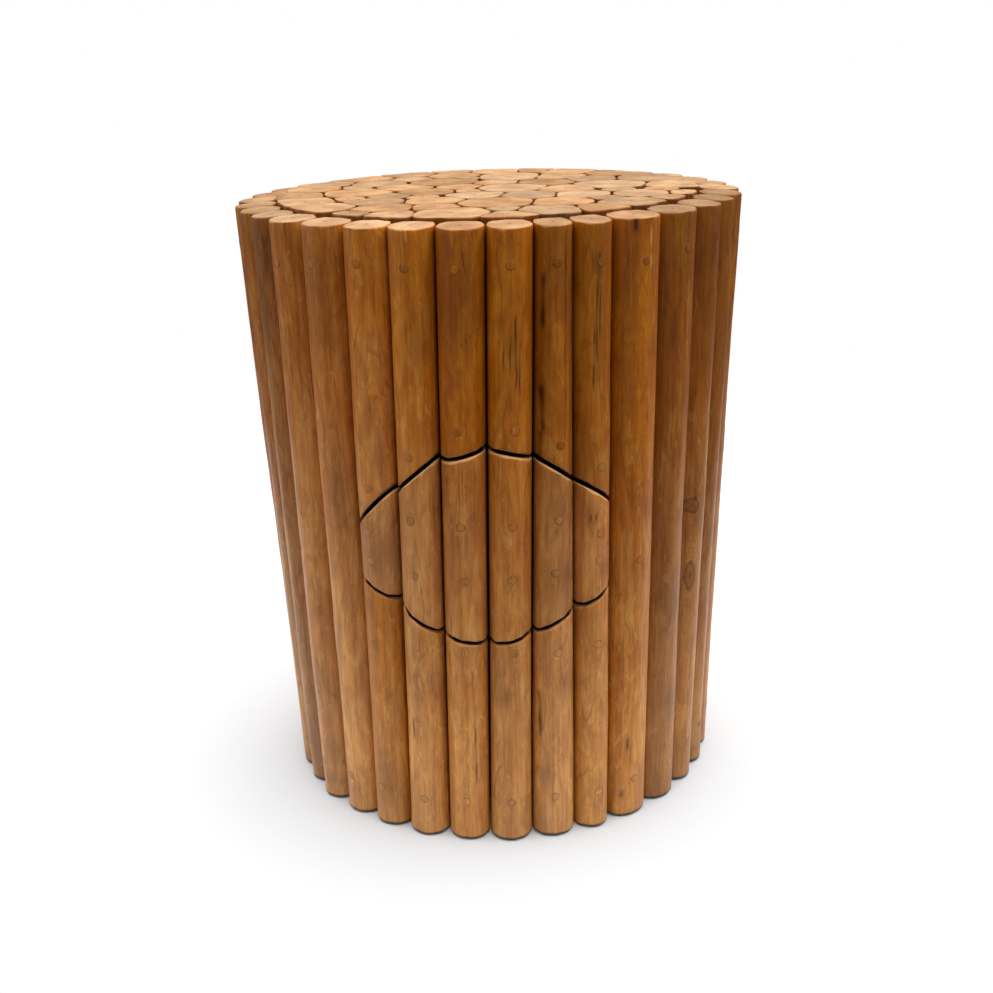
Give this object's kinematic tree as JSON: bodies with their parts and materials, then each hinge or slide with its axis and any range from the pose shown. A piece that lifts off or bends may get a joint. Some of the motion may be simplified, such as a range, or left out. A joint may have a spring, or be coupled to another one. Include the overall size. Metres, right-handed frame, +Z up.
{
  "type": "round branch side table",
  "caption": "Tapered drum side table of upright peeled teak branches, its top paved with cross-cut branch slices and an oval medallion sawn across the front branches.",
  "frame": {"origin": "on the floor under the middle of the drum", "axes": "+Z up through the top, -Y towards the front with the medallion, +X to the right seen from the front"},
  "size_m": [0.4192, 0.4181, 0.508],
  "materials": {
    "teak_branch": "sanded and oiled",
    "teak_end_grain": "sanded and oiled",
    "teak_plug": "sanded flush and oiled",
    "plywood": "stained dark",
    "softwood_post": "planed",
    "steel_screw": "zinc plated"
  },
  "bodies": {
    "root": {"backing_screws": "steel_screw", "board_screws": "steel_screw", "foot_former": "plywood", "front_posts": "softwood_post", "large_slices": "teak_end_grain", "lower_stave_1": "teak_branch", "lower_stave_2": "teak_branch", "lower_stave_3": "teak_branch", "lower_stave_4": "teak_branch", "lower_stave_5": "teak_branch", "lower_stave_6": "teak_branch", "medallion_backing": "plywood", "medallion_stave_1": "teak_branch", "medallion_stave_2": "teak_branch", "medallion_stave_3": "teak_branch", "medallion_stave_4": "teak_branch", "medallion_stave_5": "teak_branch", "medallion_stave_6": "teak_branch", "post_screws": "steel_screw", "rear_posts": "softwood_post", "rim_slices": "teak_end_grain", "slice_board": "plywood", "small_slices": "teak_end_grain", "stave_01": "teak_branch", "stave_02": "teak_branch", "stave_03": "teak_branch", "stave_04": "teak_branch", "stave_05": "teak_branch", "stave_06": "teak_branch", "stave_07": "teak_branch", "stave_08": "teak_branch", "stave_09": "teak_branch", "stave_10": "teak_branch", "stave_11": "teak_branch", "stave_12": "teak_branch", "stave_13": "teak_branch", "stave_14": "teak_branch", "stave_15": "teak_branch", "stave_16": "teak_branch", "stave_17": "teak_branch", "stave_18": "teak_branch", "stave_19": "teak_branch", "stave_20": "teak_branch", "stave_21": "teak_branch", "stave_22": "teak_branch", "stave_23": "teak_branch", "stave_24": "teak_branch", "stave_25": "teak_branch", "stave_26": "teak_branch", "stave_27": "teak_branch", "stave_plugs": "teak_plug", "stave_screws": "steel_screw", "top_former": "plywood", "upper_stave_1": "teak_branch", "upper_stave_2": "teak_branch", "upper_stave_3": "teak_branch", "upper_stave_4": "teak_branch", "upper_stave_5": "teak_branch", "upper_stave_6": "teak_branch"}
  },
  "joints": []
}
